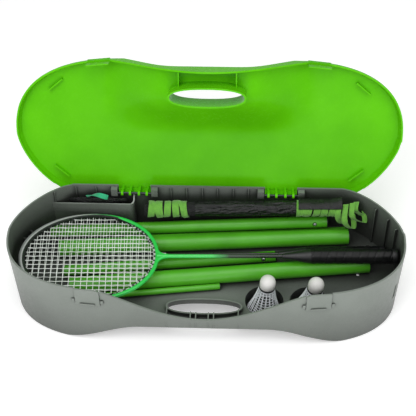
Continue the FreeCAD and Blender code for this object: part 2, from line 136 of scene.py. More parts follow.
def painted(name, colour, dark, roughness=0.34, specks="", coat=0.25):
    """Powder coat: orange peel, slight clouding and a few dust specks."""
    m, nt, bsdf = new_material(name)
    co = object_coords(nt)
    cloud = noise_tex(nt, co, 22.0, 4.0)
    peel = noise_tex(nt, co, 900.0, 2.0)
    col = mix_colour(nt, remap(nt, cloud, 0.0, 1.0), rgb(colour), rgb(dark))
    if specks:
        dots = node(nt, "TexVoronoi", {"Vector": co, "Scale": 90.0}).outputs["Distance"]
        col = mix_colour(nt, remap(nt, dots, 0.5, 0.0, 0.02, 0.05), col, rgb(specks))
    nt.links.new(col, bsdf.inputs["Base Color"])
    sheen = remap(nt, noise_tex(nt, co, 70.0, 5.0), roughness - 0.05, roughness + 0.09)
    nt.links.new(sheen, bsdf.inputs["Roughness"])
    bump(nt, bsdf, peel, 0.00005, 0.6)
    bsdf.inputs["Coat Weight"].default_value = coat
    bsdf.inputs["Coat Roughness"].default_value = 0.2
    return m


def along_x(name, stops, roughness, coat=0.3):
    """Enamel whose colour changes along the piece's own X: stops are (x in metres, colour)."""
    m, nt, bsdf = new_material(name)
    co = object_coords(nt)
    x = node(nt, "SeparateXYZ", {"Vector": co}).outputs["X"]
    wobble = math_node(nt, "MULTIPLY", noise_tex(nt, co, 60.0, 3.0), 0.012)
    x = math_node(nt, "ADD", x, wobble)
    lo, hi = stops[0][0], stops[-1][0]
    ramp = node(nt, "ValToRGB", {"Fac": remap(nt, x, 0.0, 1.0, lo, hi)})
    els = ramp.color_ramp.elements
    while len(els) < len(stops):
        els.new(0.5)
    for el, (at, colour) in zip(els, stops):
        el.position, el.color = (at - lo) / (hi - lo), rgb(colour)
    cloud = noise_tex(nt, co, 240.0, 4.0)
    col = mix_colour(nt, remap(nt, cloud, 0.0, 0.18), ramp.outputs["Color"], rgb("101210"))
    nt.links.new(col, bsdf.inputs["Base Color"])
    nt.links.new(remap(nt, cloud, roughness - 0.05, roughness + 0.08), bsdf.inputs["Roughness"])
    bump(nt, bsdf, noise_tex(nt, co, 1300.0, 2.0), 0.00003, 0.5)
    bsdf.inputs["Coat Weight"].default_value = coat
    return m


def woven(name, colour, dark, pitch, roughness=0.8, crease=0.0, sheen=0.3, use_uv=False):
    """Plain weave of two crossing threads, with creases where it is slack."""
    m, nt, bsdf = new_material(name)
    co = node(nt, "TexCoord").outputs["UV" if use_uv else "Object"]
    waves = []
    for axis in ("X", "Y"):
        values = {"Vector": co, "Scale": 0.314 / pitch, "Distortion": 0.6, "Detail": 1.0}
        waves.append(node(nt, "TexWave", values, bands_direction=axis).outputs["Fac"])
    weave = math_node(nt, "MAXIMUM", waves[0], waves[1])
    cloud = noise_tex(nt, co, 120.0, 5.0, 0.65)
    shade = math_node(nt, "MULTIPLY", weave, remap(nt, cloud, 0.55, 1.0))
    nt.links.new(mix_colour(nt, shade, rgb(dark), rgb(colour)), bsdf.inputs["Base Color"])
    nt.links.new(remap(nt, cloud, roughness - 0.1, roughness + 0.1), bsdf.inputs["Roughness"])
    low = bump(nt, bsdf, noise_tex(nt, co, 55.0, 5.0, 0.6), 0.004, crease) if crease else None
    bump(nt, bsdf, weave, pitch * 0.35, 0.8, low)
    bsdf.inputs["Sheen Weight"].default_value = sheen
    bsdf.inputs["Sheen Roughness"].default_value = 0.5
    return m


def metal(name, colour, roughness):
    m, nt, bsdf = new_material(name)
    co = object_coords(nt)
    streak = node(nt, "Mapping", {"Vector": co, "Scale": (60.0, 900.0, 900.0)}).outputs[0]
    grain = noise_tex(nt, streak, 3.0, 4.0)
    col = mix_colour(nt, remap(nt, grain, 0.0, 0.5), rgb(colour), rgb("55585a"))
    nt.links.new(col, bsdf.inputs["Base Color"])
    nt.links.new(remap(nt, grain, roughness - 0.06, roughness + 0.1), bsdf.inputs["Roughness"])
    bump(nt, bsdf, grain, 0.00002, 0.5)
    bsdf.inputs["Metallic"].default_value = 1.0
    return m


GREEN_SHELL = moulded("green_shell", "5cbd0c", "53b108", 0.24, 1400.0, 0.00003, 0.0, "", 0.07)
# on the grey shell and trim the third colour is painted shade, laid by ambient occlusion into
# sheltered places such as the case's inside; it is not dirt
GREY_SHELL = moulded("grey_shell", "7b827b", "727972", 0.42, 1700.0, 0.00007, 0.0, "2a2d29", 0.4)
GREY_TRIM = moulded("grey_trim", "949c94", "8a9189", 0.36, 1700.0, 0.00006, 0.0, "3a3e39", 0.4)
BLACK_CAP = moulded("black_cap", "141516", "0c0d0e", 0.42)
RUBBER = moulded("foot_rubber", "26282a", "1b1c1e", 0.75, 900.0, 0.0001)
STEEL = metal("bright_steel", "c6c9cc", 0.28)
DARK_STEEL = metal("dark_steel", "3c3f41", 0.4)
POLE_GREEN = painted("pole_green", "4da51e", "449718", 0.36, "a8cf90", 0.0)
FRAME_1 = along_x("racket_enamel", [(-0.119, "b8bcb9"), (-0.020, "b0b4b1"), (0.022, "3c7a48"),
                                    (0.052, "22c44a"), (0.136, "2ccb50")], 0.3)
FRAME_2 = along_x("racket_silver", [(-0.119, "8f9492"), (0.0, "aeb2b0"),
                                    (0.07, "d5d8d6"), (0.136, "e1e4e2")], 0.3)
SHAFT_1 = along_x("shaft_enamel", [(0.10, "2fd054"), (0.215, "3ec85a"),
                                   (0.245, "16301a"), (0.34, "0d0e0d")], 0.3)
SHAFT_2 = along_x("shaft_black", [(0.10, "222423"), (0.34, "0b0c0c")], 0.3)
STRING = moulded("string_nylon", "f2f5f2", "e2e7e2", 0.32, 2500.0, 0.00002)
GROMMET = moulded("grommet", "16201a", "0b100d", 0.45)
SKIRT_NYLON = moulded("skirt_nylon", "f2f5f9", "e2e7ed", 0.4, 1500.0, 0.00004)
CORK = moulded("cork_skin", "d9d8d5", "cdccc8", 0.5, 700.0, 0.00008)
BAND = moulded("band_print", "0d0d0e", "17181a", 0.35)
TWINE = woven("net_twine", "121314", "050606", 0.0006, 0.75, 0.0, 0.05)
NYLON = woven("black_nylon", "0e0f10", "050505", 0.0007, 0.33, 0.5, 0.0)
TAPE = woven("green_tape", "78bf3e", "3d7d22", 0.0011, 0.62, 0.0, 0.3, True)
TEAL = woven("teal_webbing", "1fc287", "0c7a52", 0.0011, 0.6, 0.0, 0.3, True)


def grip_material():
    m, nt, bsdf = new_material("grip_wrap")
    co = object_coords(nt)
    cell = node(nt, "TexVoronoi", {"Vector": co, "Scale": 700.0}).outputs["Distance"]
    cloud = noise_tex(nt, co, 90.0, 5.0, 0.65)
    col = mix_colour(nt, remap(nt, cloud, 0.0, 1.0), rgb("070808"), rgb("0e0f10"))
    nt.links.new(col, bsdf.inputs["Base Color"])
    bsdf.inputs["Specular IOR Level"].default_value = 0.3
    nt.links.new(remap(nt, cloud, 0.34, 0.55), bsdf.inputs["Roughness"])
    low = bump(nt, bsdf, cloud, 0.0006, 0.5)
    bump(nt, bsdf, cell, 0.00012, 0.6, low)
    return m


GRIP = grip_material()


# ---- mesh code ----------------------------------------------------------------------------
def mm(*pairs):
    """A lathe profile given in millimetres, in metres."""
    return [(s * MM, r * MM) for s, r in pairs]


def circle(count):
    """Angles evenly round one turn."""
    return [2 * math.pi * k / count for k in range(count)]


class Mesh:
    """Collects vertices, faces and UVs, in metres."""

    def __init__(self):
        self.v, self.f, self.uv = [], [], {}

    def grid(self, rows, wrap=True, cap=False, uv=None):
        """Skin over rows of points; each row is closed on itself when wrap is true."""
        start, n = len(self.v), len(rows[0])
        for row in rows:
            self.v.extend(row)
        for i in range(len(rows) - 1):
            for j in range(n if wrap else n - 1):
                k = (j + 1) % n
                a, b = start + i * n, start + (i + 1) * n
                self.f.append((a + j, a + k, b + k, b + j))
                if uv:
                    corners = ((i, j), (i, j + 1), (i + 1, j + 1), (i + 1, j))
                    self.uv[len(self.f) - 1] = [uv(*corner) for corner in corners]
        if cap:
            self.f.append(tuple(start + j for j in reversed(range(n))))
            self.f.append(tuple(start + (len(rows) - 1) * n + j for j in range(n)))

    def rod(self, points, radius, sides=8, closed=False, cap=True):
        """Round rod along points. radius is a number or one per point."""
        pts = [Vector(p) for p in points]
        count = len(pts)
        rows, up = [], None
        for i, p in enumerate(pts):
            if closed:
                t = pts[(i + 1) % count] - pts[i - 1]
            else:
                t = pts[min(i + 1, count - 1)] - pts[max(i - 1, 0)]
            t.normalize()
            if up is None:
                up = t.orthogonal().normalized()
            side = t.cross(up).normalized()
            up = side.cross(t).normalized()
            r = radius[i] if isinstance(radius, (list, tuple)) else radius
            rows.append([p + (up * math.cos(a) + side * math.sin(a)) * r
                         for a in circle(sides)])
        if closed:
            rows.append(rows[0])
        self.grid(rows, True, cap and not closed)

    def lathe(self, p, q, profile, sides=40):
        """profile: (distance from p towards q, radius) pairs, ends capped."""
        p, d = Vector(p), (Vector(q) - Vector(p)).normalized()
        up = d.orthogonal().normalized()
        side = d.cross(up)
        rows = [[p + d * s + (up * math.cos(a) + side * math.sin(a)) * r
                 for a in circle(sides)] for s, r in profile]
        self.grid(rows, True, True)

    def ribbon(self, points, normals, width, thick, cross=None, bow=0.0):
        """Flat tape along points, its face turned to normals; UV is in metres."""
        pts = [Vector(p) for p in points]
        rows, run, total = [], [0.0], 0.0
        steps = (-0.5, -0.25, 0.0, 0.25, 0.5)
        for i, p in enumerate(pts):
            t = (pts[min(i + 1, len(pts) - 1)] - pts[max(i - 1, 0)]).normalized()
            n = Vector(normals[i]).normalized()
            across = t.cross(n).normalized() if cross is None else Vector(cross[i]).normalized()
            if i:
                total += (p - pts[i - 1]).length
                run.append(total)
            ring = []
            for s in steps:
                ring.append(p + across * s * width + n * (thick / 2 - bow * (2 * s) ** 2))
            for s in reversed(steps):
                ring.append(p + across * s * width + n * (-thick / 2 - bow * (2 * s) ** 2))
            rows.append(ring)
        place = steps + steps[::-1] + steps[:1]
        self.grid(rows, True, True, lambda i, j: (run[i], place[j] * width))

    def object(self, name, material, body, sharp=40.0, slot=None, matrix=None):
        """The collected mesh as an object that rides on a body."""
        me = bpy.data.meshes.new(name)
        me.from_pydata([tuple(v) for v in self.v], [], self.f)
        if self.uv:
            layer = me.uv_layers.new(name="UVMap")
            for poly in me.polygons:
                plain = [(0, 0)] * len(poly.vertices)
                for loop, value in zip(poly.loop_indices, self.uv.get(poly.index, plain)):
                    layer.data[loop].uv = value
        me.materials.append(material)
        me.polygons.foreach_set("use_smooth", [True] * len(me.polygons))
        me.set_sharp_from_angle(angle=math.radians(sharp))
        me.update()
        ob = bpy.data.objects.new(name, me)
        bpy.context.scene.collection.objects.link(ob)
        if matrix is not None:
            ob.matrix_world = matrix
        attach(ob, body)
        return ob


# ---- case: the CAD's own shells, with their finishes -----------------------------------------
FINISH = {"case_base": GREY_SHELL, "pocket_divider": GREY_TRIM, "lid_shell": GREEN_SHELL,
          "latch_left": GREY_SHELL, "latch_right": GREY_SHELL}
for name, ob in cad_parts.items():
    if name in FINISH:
        material = FINISH[name]
    elif name.startswith("foot"):
        material = RUBBER
    elif name.startswith("hinge_pin"):
        material = DARK_STEEL
    else:
        material = STEEL
    ob.data.materials.clear()
    ob.data.materials.append(material)


# ---- poles ---------------------------------------------------------------------------------
POLES = {
    "pole_f": ((-150, 69.9, 50.4), (247, 103.0, 50.4), 6.0),
    "pole_a": ((-283, 80.5, 55.2), (213, 101.0, 74.3), 10.8),
    "pole_b": ((-262, 37.5, 58.9), (251, 79.4, 58.9), 14.4),
    "pole_c": ((-247, -12.0, 54.2), (121, 32.2, 54.2), 9.5),
    "pole_d": ((-232, -50.0, 58.9), (283, 13.0, 58.9), 14.4),
    "pole_e": ((-226, -70.5, 49.8), (25, -36.5, 49.8), 5.2),
}
POLE_WALL, POLE_LIP = 1.4 * MM, 0.5 * MM
# the tube's button: distance from its right end, and the way it points
BUTTONS = {"pole_a": (22.0, (0, -0.95, 0.33)), "pole_c": (22.0, (0, -0.9, 0.43))}
BUTTON_PROFILE = mm((0, 3.0), (5.2, 3.0), (5.9, 2.8), (6.4, 2.2), (6.6, 1.2), (6.6, 0.1))
BUTTON_FOOT, HOLE_R, HOLE_EDGE_R, HOLE_PROUD = 4, 3.5, 0.35, 0.05


def make_pole(name):
    p, q, r = POLES[name]
    p, q, r = Vector(p) * MM, Vector(q) * MM, r * MM
    length, d = (q - p).length, (q - p).normalized()
    wall, lip = POLE_WALL, POLE_LIP
    tube = Mesh()
    runs = [(0, r - wall), (0, r - lip), (lip * 0.3, r - lip * 0.3), (lip, r)]
    steps = 24
    runs += [(lip + (length - 2 * lip) * i / steps, r) for i in range(1, steps)]
    runs += [(length - lip, r), (length - lip * 0.3, r - lip * 0.3), (length, r - lip),
             (length, r - wall)]
    tube.lathe(p, q, runs, 56)
    ob = tube.object(name + "_tube", POLE_GREEN, name, slot="green_paint")
    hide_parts(name)
    caps = Mesh()
    cap = [(0, r - 0.6 * MM), (1.4 * MM, r - 0.6 * MM), (1.9 * MM, r - 0.9 * MM),
           (2.15 * MM, r - 1.6 * MM), (2.15 * MM, r * 0.62), (1.5 * MM, r * 0.58),
           (1.5 * MM, r * 0.2)]
    for at, out in ((p, -d), (q, d)):
        caps.lathe(at - out * 0.2 * MM, at + out, cap, 48)
    ob = caps.object(name + "_caps", BLACK_CAP, name, slot="black_plastic")
    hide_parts(name + "_plugs")
    if name in BUTTONS:
        back, up = BUTTONS[name]
        up = Vector(up)
        up = (up - d * up.dot(d)).normalized()
        at = q - d * back * MM
        knob = Mesh()
        knob.lathe(at + up * (r - BUTTON_FOOT * MM), at + up * r, BUTTON_PROFILE, 28)
        ob = knob.object(name + "_snap", STEEL, name + "_button", slot="steel")
        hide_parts(name + "_button")
        ring, edge = Mesh(), []
        for a in circle(28):
            out = (d * math.cos(a) + d.cross(up) * math.sin(a)) * HOLE_R * MM
            sag = r - math.sqrt(r * r - (HOLE_R * MM * math.sin(a)) ** 2)
            edge.append(at + up * (r + HOLE_PROUD * MM) + out - up * sag)
        ring.rod(edge, HOLE_EDGE_R * MM, 6, True)
        ring.object(name + "_hole_edge", BLACK_CAP, name, slot="black_plastic")


for name in POLES:
    make_pole(name)


# ---- rackets -------------------------------------------------------------------------------
HEAD_HX, HEAD_HY, HEAD_EGG = 119.0 * MM, 100.0 * MM, 0.03
FRAME_HALF, GROOVE_IN = 3.2 * MM, 6.8 * MM
SHAFT_LENGTH, SHAFT_R = 0.228, 3.3 * MM
CONE_X, GRIP_X0, GRIP_X1 = 0.331, 0.380, 0.5205
GRIP_R, WRAP_PITCH = 12.45 * MM, 27.0 * MM
STRING_R, STRING_PAST = 0.46 * MM, 3.5 * MM
MAINS, CROSSES = 19, 21
# head centre (mm), yaw and pitch (degrees), how much shorter the grip is (mm), finishes
RACKETS = {"racket_1": ((-199.0, -12.8, 94.2), 2.35, 0.97, 0.0, FRAME_1, SHAFT_1, "racket_frame"),
           "racket_2": ((-204.0, -2.2, 83.0), 4.87, 2.88, 10.0, FRAME_2, SHAFT_2,
                        "racket_2_frame")}
# (outwards, upwards) in mm round the frame's section, with the string groove outside
HOOP_SECTION = [(3.2, 1.6), (2.8, 2.5), (1.9, 2.95), (0, 3.1), (-1.5, 2.9), (-2.4, 2.2),
                (-2.8, 1.2), (-2.8, -1.2), (-2.4, -2.2), (-1.5, -2.9), (0, -3.1),
                (1.9, -2.95), (2.8, -2.5), (3.2, -1.6), (2.9, -0.9), (2.3, -0.6),
                (2.3, 0.6), (2.9, 0.9)]
THROAT = mm((0, 4.4), (3, 4.4), (9, 4.1), (18, 3.95), (19.2, 3.6))
GROMMET_PROFILE = mm((0, 1.5), (4.0, 1.35), (4.6, 0.8))
CONE_PROFILE = mm((0, 3.5), (0.4, 4.4), (2, 4.9), (4, 4.9), (5, 5.3), (20, 7.6), (38, 10.9),
                  (47, 12.0), (49, 12.1))
BUTT_PROFILE = mm((0, 12.2), (0.3, 13.1), (2, 13.4), (6.5, 13.4), (8.6, 12.9), (9.8, 11.6),
                  (10.0, 9.8), (9.5, 9.3), (9.5, 1))


def head_point(a, inset=0.0):
    """Point on the head's outline, slightly wider towards the throat."""
    c, s = math.cos(a), math.sin(a)
    p = Vector((HEAD_HX * c, HEAD_HY * s * (1 + HEAD_EGG * c), 0))
    n = Vector((c / HEAD_HX, s / HEAD_HY, 0)).normalized()
    return p - n * inset, n


def make_racket(name):
    centre, yaw, pitch, shorter, enamel, shaft_finish, slot = RACKETS[name]
    m = (Matrix.Translation(Vector(centre) * MM) @ Matrix.Rotation(math.radians(yaw), 4, "Z")
         @ Matrix.Rotation(math.radians(pitch), 4, "Y"))
    # frame: closed sweep, with the throat's socket and its two arms
    body = Mesh()
    rows = []
    for a in circle(180):
        p, n = head_point(a, FRAME_HALF)
        rows.append([p + n * u * MM + Vector((0, 0, w * MM)) for u, w in HOOP_SECTION])
    rows.append(rows[0])
    body.grid(rows)
    x0 = HEAD_HX - 3.0 * MM
    body.lathe((x0, 0, 0), (1, 0, 0), THROAT, 32)
    for s in (-1, 1):
        pts = [Vector((HEAD_HX + 15 * MM, 0, 0)), Vector((HEAD_HX + 6 * MM, s * 2.2 * MM, 0)),
               Vector((HEAD_HX - 1 * MM, s * 7.5 * MM, 0)), head_point(s * 0.17, FRAME_HALF)[0]]
        body.rod(pts, [3.4 * MM, 3.6 * MM, 3.3 * MM, 2.8 * MM], 20)
    ob = body.object(name + "_hoop", enamel, name, slot=slot, matrix=m)
    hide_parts(name + "_frame")
    # strings, woven over and under, with a grommet at each end
    inner_x, inner_y = HEAD_HX - 8 * MM, HEAD_HY - 8 * MM
    mains = [inner_y * 1.88 * (i / (MAINS - 1) - 0.5) for i in range(MAINS)]
    crosses = [inner_x * 1.88 * (j / (CROSSES - 1) - 0.5) for j in range(CROSSES)]
    bed, dots = Mesh(), Mesh()
    lift = r = STRING_R

    def edge_y(x):
        c = max(-1.0, min(1.0, x / inner_x))
        return inner_y * math.sqrt(1 - c * c) * (1 + HEAD_EGG * c)

    def edge_x(y, side):
        lo, hi = 0.0, inner_x
        for _ in range(24):
            mid = (lo + hi) / 2
            lo, hi = (mid, hi) if edge_y(side * mid) > abs(y) else (lo, mid)
        return side * lo

    for i, y in enumerate(mains):
        ends = edge_x(y, -1) - STRING_PAST, edge_x(y, 1) + STRING_PAST
        pts = [Vector((ends[0], y, 0))]
        for j, x in enumerate(crosses):
            if ends[0] + 5 * MM < x < ends[1] - 5 * MM:
                pts.append(Vector((x, y, lift if (i + j) % 2 else -lift)))
        pts.append(Vector((ends[1], y, 0)))
        bed.rod(pts, r, 6)
        for side, x in ((-1, ends[0]), (1, ends[1])):
            dots.lathe((x, y, 0), (x - side, y, 0), GROMMET_PROFILE, 10)
    for j, x in enumerate(crosses):
        e = edge_y(x) + STRING_PAST
        pts = [Vector((x, -e, 0))]
        for i, y in enumerate(mains):
            if abs(y) < e - 5 * MM:
                pts.append(Vector((x, y, -lift if (i + j) % 2 else lift)))
        pts.append(Vector((x, e, 0)))
        bed.rod(pts, r, 6)
        for side in (-1, 1):
            dots.lathe((x, side * e, 0), (x, side * (e - 1), 0), GROMMET_PROFILE, 10)
    ob = bed.object(name + "_string_bed", STRING, name, slot="strings", matrix=m)
    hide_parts(name + "_strings")
    # grommet strip round the head, which thins out before the throat
    strip, rows = Mesh(), []
    for k in range(121):
        p, n = head_point(math.radians(52 + 256 * k / 120), GROOVE_IN)
        fade = min(1.0, k / 8, (120 - k) / 8)
        w = 2.5 * fade + 0.3
        lip = ((0, -w), (0.3, w), (1.2, w + 0.3 * fade), (3.0, 3.35 * fade), (3.0, 2.5 * fade),
               (1.0, 0.0), (1.0, -w))
        rows.append([p + n * u * MM + Vector((0, 0, v * MM)) for u, v in lip])
    strip.grid(rows, True, True)
    strip.object(name + "_grommet_strip", GROMMET, name, slot="black_plastic", matrix=m)
    dots.object(name + "_grommets", GROMMET, name, slot="black_plastic", matrix=m)
    # shaft, cone, wrapped grip and butt cap
    shaft = Mesh()
    tube = [(SHAFT_LENGTH * i / 20, SHAFT_R) for i in range(21)]
    shaft.lathe((HEAD_HX + 10 * MM, 0, 0), (1, 0, 0), tube, 32)
    ob = shaft.object(name + "_rod", shaft_finish, name, slot="shaft", matrix=m)
    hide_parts(name + "_shaft")
    cone = Mesh()
    cone.lathe((CONE_X, 0, 0), (1, 0, 0), CONE_PROFILE, 40)
    ob = cone.object(name + "_ferrule", BLACK_CAP, name, slot="black_plastic", matrix=m)
    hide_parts(name + "_cone")
    grip = Mesh()
    x0, x1, rows = GRIP_X0, GRIP_X1 - shorter * MM, []
    count = 150
    for i in range(count + 1):
        x = x0 + (x1 - x0) * i / count
        row = []
        for a in circle(64):
            phase = (x / WRAP_PITCH + a / (2 * math.pi)) % 1.0
            step = math.exp(-((phase - 0.5) / 0.035) ** 2)
            octagon = 0.22 * MM * math.cos(8 * a)
            rr = GRIP_R + octagon + 0.45 * MM * phase - 0.75 * MM * step
            rr += 0.12 * MM * noise.noise(Vector((x * 90, math.cos(a) * 2, math.sin(a) * 2)))
            if i < 3 or i > count - 3:
                rr -= 0.3 * MM
            row.append(Vector((x, rr * math.cos(a), rr * math.sin(a))))
        rows.append(row)
    grip.grid(rows, True, True)
    ob = grip.object(name + "_wrap", GRIP, name, sharp=60, slot="grip", matrix=m)
    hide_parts(name + "_grip")
    butt = Mesh()
    butt.lathe((x1 - 1 * MM, 0, 0), (1, 0, 0), BUTT_PROFILE, 48)
    ob = butt.object(name + "_end_cap", BLACK_CAP, name, slot="black_plastic", matrix=m)
    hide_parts(name + "_butt_cap")


for name in RACKETS:
    make_racket(name)


# ---- shuttlecocks --------------------------------------------------------------------------
# middle of the skirt's mouth (mm), and the way the cork points
SHUTTLES = {"shuttle_1": ((101.6, -62.8, 22.4), (5.0, -1.0, 73.0)),
            "shuttle_2": ((179.0, -63.0, 23.2), (8.5, -4.0, 73.0))}
SKIRT_H, MOUTH_R, NECK_R, RIBS = 58.0, 28.1, 12.7, 16
BAND_Z, CORK_Z, CORK_SIDE, CORK_R = 0.0579, 0.0620, 9.3 * MM, 13.35 * MM
BAND_PROFILE = mm((0, 11.5), (0.1, 13.1), (0.7, 13.55), (3.4, 13.6), (4.0, 13.3), (4.1, 11.0))


def make_shuttle(name):
    at, up = SHUTTLES[name]
    turn = Vector((0, 0, 1)).rotation_difference(Vector(up)).to_matrix().to_4x4()
    m = Matrix.Translation(Vector(at) * MM) @ turn
    net = Mesh()

    def radius(z):
        t = z / SKIRT_H
        return (MOUTH_R + (NECK_R - MOUTH_R) * t - 1.2 * math.sin(math.pi * t)) * MM

    for a in circle(RIBS):
        for spread in (-1, 1):
            pts = []
            for z in (1, 8, 16, 24, 32, 40, 48, 57.6):
                b = a + spread * 0.085 * (1 - z / SKIRT_H)
                pts.append(Vector((radius(z) * math.cos(b), radius(z) * math.sin(b), z * MM)))
            net.rod(pts, [0.45 * MM] * 4 + [0.55 * MM, 0.62 * MM, 0.68 * MM, 0.72 * MM], 6)
    for i, z in enumerate((1.2, 5.5, 10, 14.5, 19, 24, 29, 34, 39.5, 45, 51, 57)):
        pts = []
        for a in circle(96):
            wave = (1.1 if z < 12 else 0.5) * math.cos(RIBS * a)
            zz = max(0.7, z + wave)
            pts.append(Vector((radius(zz) * math.cos(a), radius(zz) * math.sin(a), zz * MM)))
        net.rod(pts, (0.6 if i in (0, 11) else 0.42) * MM, 6, True)
    ob = net.object(name + "_lattice", SKIRT_NYLON, name, slot="skirt", matrix=m)
    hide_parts(name + "_skirt")
    band = Mesh()
    band.lathe((0, 0, BAND_Z), (0, 0, 1), BAND_PROFILE, 56)
    ob = band.object(name + "_ring", BAND, name, slot="band", matrix=m)
    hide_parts(name + "_band")
    head = Mesh()
    prof = mm((0, 11.8), (0.1, 12.7), (0.8, 13.2)) + [(CORK_SIDE, CORK_R)]
    for i in range(1, 14):
        t = math.pi / 2 * i / 14
        prof.append((CORK_SIDE + 13.2 * MM * math.sin(t), CORK_R * math.cos(t)))
    prof += mm((22.5, 0.3))
    head.lathe((0, 0, CORK_Z), (0, 0, 1), prof, 56)
    ob = head.object(name + "_head", CORK, name, slot="cork", matrix=m)
    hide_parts(name + "_cork")


for name in SHUTTLES:
    make_shuttle(name)


# ---- net bundle ----------------------------------------------------------------------------
NET_Y, NET_X, NET_Z = 97.0, (-112.0, 236.0), (101.0, 113.0)
NET_LENGTH = NET_X[1] - NET_X[0]
CORE_R, TWINE_R, STRAND_R, STRANDS = 11.2, 11.6, 0.45, 30
SLEEVE_X, SLEEVE_LENGTH, SLEEVE_R = -22, 180, 12.5
TAPE_THICK, TAPE_BOW = 0.9, 0.3
FLAP_X, FLAP_WIDTH, FLAP_R, FLAP_THICK = 160, 76, 17.3, 0.5
FLAP_FROM, FLAP_ARC = 62, 82
# slack loops: left end, reach to the front, drop, lean to the right, set back (all mm)
LOOPS = ((232, 10, 26, 9, 0), (243, 22, 33, 14, 2), (255, 15, 24, 22, 5), (262, 6, 16, 16, 9))


def around(x, a, r):
    """Point r out from the bundle's axis, which climbs to the right."""
    z = NET_Z[0] + (NET_Z[1] - NET_Z[0]) * (x - NET_X[0]) / NET_LENGTH
    return Vector((x, NET_Y + r * math.cos(a), z + r * math.sin(a))) * MM


def folded(x, a, r):
    """Radius r with the lumps and folds of rolled netting."""
    n = noise.noise(Vector((x * 0.05, math.cos(a) * 1.3, math.sin(a) * 1.3)))
    fold = noise.noise(Vector((x * 0.02, math.cos(a) * 4, math.sin(a) * 4)))
    return r + 1.2 * n + 1.3 * fold


def make_net():
    core, twine = Mesh(), Mesh()
    rows = []
    for i in range(141):
        x = NET_X[0] + NET_LENGTH * i / 140
        end = min(1.0, (i + 1) / 4, (141 - i) / 4) ** 0.5
        rows.append([around(x, a, folded(x, a, CORE_R) * end) for a in circle(40)])
    core.grid(rows, True, True)
    ob = core.object("net_folds", TWINE, "net", slot="net_mesh")
    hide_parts("net_roll")
    for k, turn in enumerate(circle(STRANDS)):
        hand = 1 if k % 2 else -1
        a0, rate = turn + rnd.uniform(-0.1, 0.1), rnd.uniform(0.028, 0.04)
        pts = []
        for i in range(100):
            x = NET_X[0] + NET_LENGTH * i / 99
            a = a0 + hand * rate * (x - NET_X[0])
            pts.append(around(x, a, folded(x, a, TWINE_R)))
        twine.rod(pts, STRAND_R * MM, 5)
    twine.object("net_strands", TWINE, "net", slot="net_mesh")


def make_sleeve():
    sleeve, rows = Mesh(), []
    for i in range(221):
        x = SLEEVE_X + SLEEVE_LENGTH * i / 220
        row = []
        for a in circle(80):
            c, s = math.cos(a), math.sin(a)
            wrinkle = noise.noise(Vector((x * 0.03 + 2.0 * c, c * 2.2, s * 2.2 + x * 0.012)))
            crease = abs(noise.noise(Vector((x * 0.055 - 2.5 * s, c * 3, s * 3))))
            pull = abs(noise.noise(Vector((x * 0.015 + a, a * 1.7, 7.0))))
            row.append(around(x, a, SLEEVE_R + 1.3 * wrinkle + 2.2 * (0.4 - crease)
                              + 1.0 * (0.3 - pull)))
        rows.append(row)
    sleeve.grid(rows, True, True)
    ob = sleeve.object("net_sleeve_cloth", NYLON, "net", sharp=70, slot="nylon")
    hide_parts("net_sleeve")


def wrap(tape, x0, x1, turns, start, radius, lean=0.0, width=12.0, count=48):
    """Turns of tape round the bundle from x0 to x1; lean skews each turn."""
    pts, normals, cross = [], [], []
    for i in range(int(count * turns) + 1):
        t = i / int(count * turns)
        a = start + 2 * math.pi * turns * t
        x = x0 + (x1 - x0) * t + lean * math.sin(a)
        pts.append(around(x, a, radius + 0.6 * t + 0.5 * noise.noise(Vector((x * 0.1, a, 3)))))
        normals.append(Vector((0, math.cos(a), math.sin(a))))
        cross.append(Vector((1, 0.12 * math.cos(3 * a), 0.12 * math.sin(2 * a))))
    tape.ribbon(pts, normals, width * MM, TAPE_THICK * MM, cross, TAPE_BOW * MM)


def make_tapes():
    left, right = Mesh(), Mesh()
    for i in range(5):
        x = -101 + 14.5 * i + rnd.uniform(-1.0, 1.0)
        wrap(left, x, x + rnd.uniform(2, 5), 1.06, -0.4 * math.pi, 13.7 + 0.25 * (i % 2),
             rnd.uniform(-2.5, 2.5))
    wrap(left, -104, -34, 1.5, 0.9, 14.9, 4.0, 9.0, 60)
    ob = left.object("net_tape_left_wraps", TAPE, "net", sharp=60, slot="green_tape")
    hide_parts("net_tape_left")
    for i in range(5):
        x = 164 + 14.0 * i + rnd.uniform(-1.0, 1.0)
        wrap(right, x, x + rnd.uniform(-3, 4), 1.06, -0.4 * math.pi, 14.0 + 0.3 * (i % 2),
             rnd.uniform(-3, 3))
    wrap(right, 158, 226, 1.4, 1.2, 14.9, 4.0, 9.0, 60)
    ob = right.object("net_tape_right_wraps", TAPE, "net", sharp=60, slot="green_tape")
    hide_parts("net_tape_right")


def make_flap():
    """The sleeve's loose end, folded back over the right-hand windings with one corner lifted."""
    flap, top, under = Mesh(), [], []
    columns, lines = 40, 18
    for i in range(columns + 1):
        u = i / columns
        row = []
        for j in range(lines + 1):
            v = j / lines
            x = FLAP_X + FLAP_WIDTH * u
            a = math.radians(FLAP_FROM + FLAP_ARC * v)
            r = FLAP_R + 0.8 * noise.noise(Vector((x * 0.05, v * 2.5, 2.0)))
            r += 1.0 * abs(noise.noise(Vector((x * 0.03 + v, v, 9.0))))
            p = around(x, a, r)
            corner = max(0.0, u - 0.72) / 0.28 * max(0.0, 1 - abs(v - 0.15) / 0.9)
            row.append(p + Vector((0.0, -1.0 * corner, 5.0 * corner ** 1.5)) * MM)
        top.append(row)
    for row in top:
        under.append([p - Vector((0, 0, FLAP_THICK)) * MM for p in reversed(row)])
    flap.grid([a + b for a, b in zip(top, under)], True, True)
    ob = flap.object("net_sleeve_flap", NYLON, "net", sharp=70, slot="nylon")


